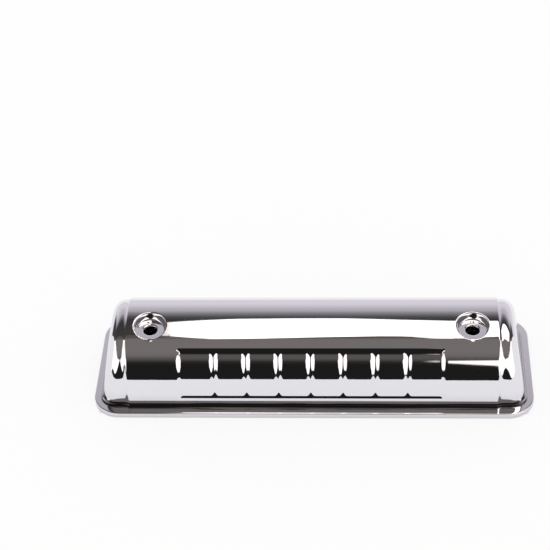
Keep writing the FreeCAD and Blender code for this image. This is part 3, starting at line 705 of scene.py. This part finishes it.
# The last number is the strength of the painted shade in the crease
bright_chrome = plated_material("bright_chrome", (0.77, 0.76, 0.80), 0.035, 0.5, 0.000002, 0.97)
dull_plate = plated_material("dull_inside_plate", (0.52, 0.52, 0.53), 0.32, 1.0, 0.00002, 0.0)
cover_mesh.materials.append(bright_chrome)
cover_mesh.materials.append(dull_plate)
chromed_cover = bpy.data.objects.new("chromed_cover", cover_mesh)
bpy.context.collection.objects.link(chromed_cover)
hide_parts("pressed_cover")
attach(chromed_cover, "root")

# Table
# A white table top under the cover, with plain white light all round. It answers the camera and the
# plate's reflections with its own white and keeps only a faint shadow.
world = bpy.data.worlds.new("white_room")
bpy.context.scene.world = world
world.use_nodes = True
world.node_tree.nodes["Background"].inputs["Color"].default_value = (1, 1, 1, 1)
world.node_tree.nodes["Background"].inputs["Strength"].default_value = 1.0


def flat_top(name, corners):
    """A flat four-cornered top, its corners in order."""
    mesh = bpy.data.meshes.new(name)
    mesh.from_pydata(corners, [], [(0, 1, 2, 3)])
    made = bpy.data.objects.new(name, mesh)
    bpy.context.collection.objects.link(made)
    return made


def table_white():
    """White that the camera and reflections see, over a diffuse white that takes the shadow.

    It fades by the distance past the cover's edge, so that the contact shadow stays dark.
    """
    material = bpy.data.materials.new("table_white")
    material.use_nodes = True
    tree = material.node_tree
    nodes, links = tree.nodes, tree.links
    matt = nodes["Principled BSDF"]
    matt.inputs["Base Color"].default_value = (0.96, 0.96, 0.96, 1)
    matt.inputs["Roughness"].default_value = 1.0
    matt.inputs["Specular IOR Level"].default_value = 0.0
    glow = nodes.new("ShaderNodeEmission")
    glow.inputs["Color"].default_value = (1, 1, 1, 1)
    glow.inputs["Strength"].default_value = 1.0
    place = nodes.new("ShaderNodeNewGeometry")
    folded = nodes.new("ShaderNodeVectorMath")
    folded.operation = "ABSOLUTE"
    links.new(place.outputs["Position"], folded.inputs[0])
    past = nodes.new("ShaderNodeVectorMath")
    past.operation = "SUBTRACT"
    past.inputs[1].default_value = (rim_half_long * MILLIMETRE, rim_half_wide * MILLIMETRE, 0)
    links.new(folded.outputs["Vector"], past.inputs[0])
    apart = nodes.new("ShaderNodeSeparateXYZ")
    links.new(past.outputs["Vector"], apart.inputs["Vector"])
    away = worked_out(tree, "MAXIMUM", apart.outputs["X"], apart.outputs["Y"])
    seen_glow = eased(tree, away, -0.007, -0.006, 0.0, 0.76)
    mirrored_glow = eased(tree, away, 0.0, 0.02, 0.0, 0.85)
    path = nodes.new("ShaderNodeLightPath")
    shown = worked_out(tree, "MULTIPLY", path.outputs["Is Camera Ray"], seen_glow)
    shown = worked_out(tree, "MULTIPLY_ADD", path.outputs["Is Transmission Ray"], seen_glow, shown)
    shown = worked_out(tree, "MULTIPLY_ADD", path.outputs["Is Glossy Ray"], mirrored_glow, shown)
    shown = worked_out(tree, "MINIMUM", shown, 1.0)
    mix = nodes.new("ShaderNodeMixShader")
    links.new(shown, mix.inputs["Fac"])
    links.new(matt.outputs["BSDF"], mix.inputs[1])
    links.new(glow.outputs["Emission"], mix.inputs[2])
    links.new(mix.outputs["Shader"], nodes["Material Output"].inputs["Surface"])
    return material


# The plate mirrors the table behind this edge; in front of it, it mirrors the room
table_edge = -0.230
table_half = 6.0
table_top = table_white()
table = flat_top("table", [
    (-table_half, table_edge, 0), (table_half, table_edge, 0),
    (table_half, table_half, 0), (-table_half, table_half, 0),
])
table.data.materials.append(table_top)
table_front = flat_top("table_front", [
    (-table_half, -table_half, 0), (table_half, -table_half, 0),
    (table_half, table_edge, 0), (-table_half, table_edge, 0),
])
table_front.data.materials.append(table_top)
table_front.visible_glossy = False

# Reflected room
# What the chrome mirrors beyond the table: a dark room in front with pale walls to both sides, a grey
# wall above it, a long softbox overhead that starts over the left stud, and a pale wall behind.
# Turns are in degrees about the X axis, 0 level ahead and 90 overhead, and places in metres along it.
room_radius = 2.6
room_half = 5.0
softbox_glow = 2.0
pale_glow = 1.5
flag_glow = 0.06
softbox_from, softbox_to = -0.47, 2.4
dark_from, dark_to = -0.72, 0.23
warm_tint = np.array([1.05, 0.97, 0.91])
cool_tint = np.array([1.03, 0.985, 1.05])

# Brightness of the walls by turn, then the turn of each lower and upper edge by place
room_bands = np.array([
    (-60.0, 0.014), (7.0, 0.014), (9.0, 0.018), (11.6, 0.028), (14.0, 0.075), (16.6, 0.115),
    (19.0, 0.165), (22.0, 0.200), (70.0, 0.195), (80.0, 0.105), (90.0, 0.100), (93.0, 0.055),
    (116.6, 0.045), (121.0, 0.09), (124.0, 0.17), (128.0, 0.30), (131.0, 0.47), (135.0, 0.56),
    (141.0, 0.64), (149.0, 0.74), (159.0, 0.82), (170.0, 0.80), (240.0, 0.80),
])
box_low_edge = np.array([
    (-0.48, 92.5), (-0.42, 82.0), (-0.343, 72.5), (-0.227, 75.0), (-0.072, 82.0), (0.082, 87.3),
    (0.159, 87.0), (0.235, 75.0), (0.30, 76.0), (0.377, 85.5), (0.9, 75.0), (1.6, 68.0),
])
box_high_edge = np.array([
    (-0.47, 112.2), (-0.383, 115.3), (-0.29, 117.7), (-0.15, 118.4), (0.005, 118.4), (0.159, 115.9),
    (0.274, 114.3), (0.386, 114.3), (0.9, 113.0), (2.4, 111.0),
])
pale_low_edge = np.array([
    (-4.5, -20.0), (-3.9, -5.0), (-2.6, -3.0), (-2.1, -5.5), (-1.7, -5.5), (-1.4, -3.0),
    (-1.0, 3.0), (-0.72, 12.0), (0.20, 11.8), (0.266, 10.7), (0.311, 9.4), (0.388, 7.5),
    (0.45, 4.0), (0.9, 0.0), (1.4, -9.0), (2.0, -12.0), (3.1, -16.0),
])
pale_high_edge = np.array([
    (-3.3, 78.0), (-2.9, 40.0), (-2.4, 27.0), (-1.9, 23.0), (-1.4, 17.0), (-0.72, 14.0), (0.20, 13.0),
    (0.388, 14.0), (0.7, 16.5), (1.3, 18.0), (1.9, 22.0), (2.6, 27.0), (3.3, 40.0), (3.7, 78.0),
])


def between(value, low, high, soft):
    """1 between two limits and 0 outside, with soft edges."""
    return np.clip((value - low) / soft + 0.5, 0, 1) * np.clip((high - value) / soft + 0.5, 0, 1)


def room_colour(turn, x):
    """Colour of the room by turn and place: walls, then flags, pale walls and softbox over them.

    Each area's edges are turns read from its edge line at that place. The two dark flags stand at
    the far ends behind. The walls ahead and above are a little warm, and the one behind a little cool.
    """
    bright = np.interp(turn, *room_bands.T)
    flag = between(turn, 100, 172, 6) * between(x, -5.5, -3.0, 0.6)
    flag = flag + between(turn, 100, 150, 6) * between(x, 3.2, 5.5, 0.6)
    pale = between(turn, np.interp(x, *pale_low_edge.T), np.interp(x, *pale_high_edge.T), 1.2)
    pale = pale * (1 - between(x, dark_from, dark_to, 0.06))
    softbox = between(turn, np.interp(x, *box_low_edge.T), np.interp(x, *box_high_edge.T), 0.8)
    softbox = softbox * between(x, softbox_from, softbox_to, 0.05)
    for share, glow in ((flag, flag_glow), (pale, pale_glow), (softbox, softbox_glow)):
        bright = bright * (1 - share) + glow * share
    warm = between(turn, 5, 112, 10)[..., None]
    cool = between(turn, 122, 250, 8)[..., None]
    tint = (1 - warm - cool) + warm * warm_tint + cool * cool_tint
    return np.concatenate([bright[..., None] * tint, np.ones(bright.shape + (1,))], -1)


def room_mesh():
    """Part of a tube about the X axis, with its colour as an attribute, finer where edges lie."""
    turns = np.concatenate([
        np.arange(-60, 20, 0.5),
        np.arange(20, 68, 4),
        np.arange(68, 136, 0.5),
        np.arange(136, 215, 4),
    ])
    places = np.concatenate([
        np.arange(-room_half, -1, 0.2),
        np.arange(-1, 1.4, 0.03),
        np.arange(1.4, room_half + 0.01, 0.2),
    ])
    turn, x = np.meshgrid(turns, places, indexing="ij")
    angle = np.radians(turn)
    vertices = np.stack([x, -room_radius * np.cos(angle), room_radius * np.sin(angle)], -1)
    index = np.arange(turn.size).reshape(turn.shape)
    faces = np.stack([index[:-1, :-1], index[:-1, 1:], index[1:, 1:], index[1:, :-1]], -1).reshape(-1, 4)
    mesh = bpy.data.meshes.new("room")
    mesh.from_pydata(vertices.reshape(-1, 3).tolist(), [], faces.tolist())
    shown = mesh.attributes.new("room_colour", "FLOAT_COLOR", "POINT")
    shown.data.foreach_set("color", room_colour(turn, x).ravel().astype(np.float32))
    return mesh


def room_glow():
    """Shows the room's colour to reflections."""
    material = bpy.data.materials.new("room_glow")
    material.use_nodes = True
    nodes, links = material.node_tree.nodes, material.node_tree.links
    nodes.remove(nodes["Principled BSDF"])
    glow = nodes.new("ShaderNodeEmission")
    glow.inputs["Strength"].default_value = 1.0
    shown = nodes.new("ShaderNodeAttribute")
    shown.attribute_name = "room_colour"
    links.new(shown.outputs["Color"], glow.inputs["Color"])
    links.new(glow.outputs["Emission"], nodes["Material Output"].inputs["Surface"])
    return material


room = bpy.data.objects.new("room", room_mesh())
bpy.context.collection.objects.link(room)
room.data.materials.append(room_glow())
room.visible_camera = False
room.visible_diffuse = False
room.visible_shadow = False
room.visible_transmission = False

# Camera
# A long lens looks down on the cover from in front, turned a little to the left and rolled.
# Its place is in metres.
camera_place = Vector((0.0605, -1.2318, 1.2469))
camera_down = math.radians(41.963)
camera_yaw = math.radians(-4.4995)
camera_roll = math.radians(-3.1378)
focal_pixels = 1624.69
image_pixels = 550
camera_data = bpy.data.cameras.new("camera")
camera_data.sensor_width = 36.0
camera_data.lens = focal_pixels * camera_data.sensor_width / image_pixels
camera_data.clip_end = 50.0
camera = bpy.data.objects.new("camera", camera_data)
bpy.context.collection.objects.link(camera)
ahead = Vector((
    math.sin(camera_yaw) * math.cos(camera_down),
    math.cos(camera_yaw) * math.cos(camera_down),
    -math.sin(camera_down),
))
level = Vector((math.cos(camera_yaw), -math.sin(camera_yaw), 0))
upright = level.cross(ahead)
right = math.cos(camera_roll) * level + math.sin(camera_roll) * upright
above = -math.sin(camera_roll) * level + math.cos(camera_roll) * upright
turn = Matrix((right, above, -ahead)).transposed().to_4x4()
camera.matrix_world = Matrix.Translation(camera_place) @ turn
bpy.context.scene.camera = camera
bpy.context.scene.view_settings.view_transform = "Standard"
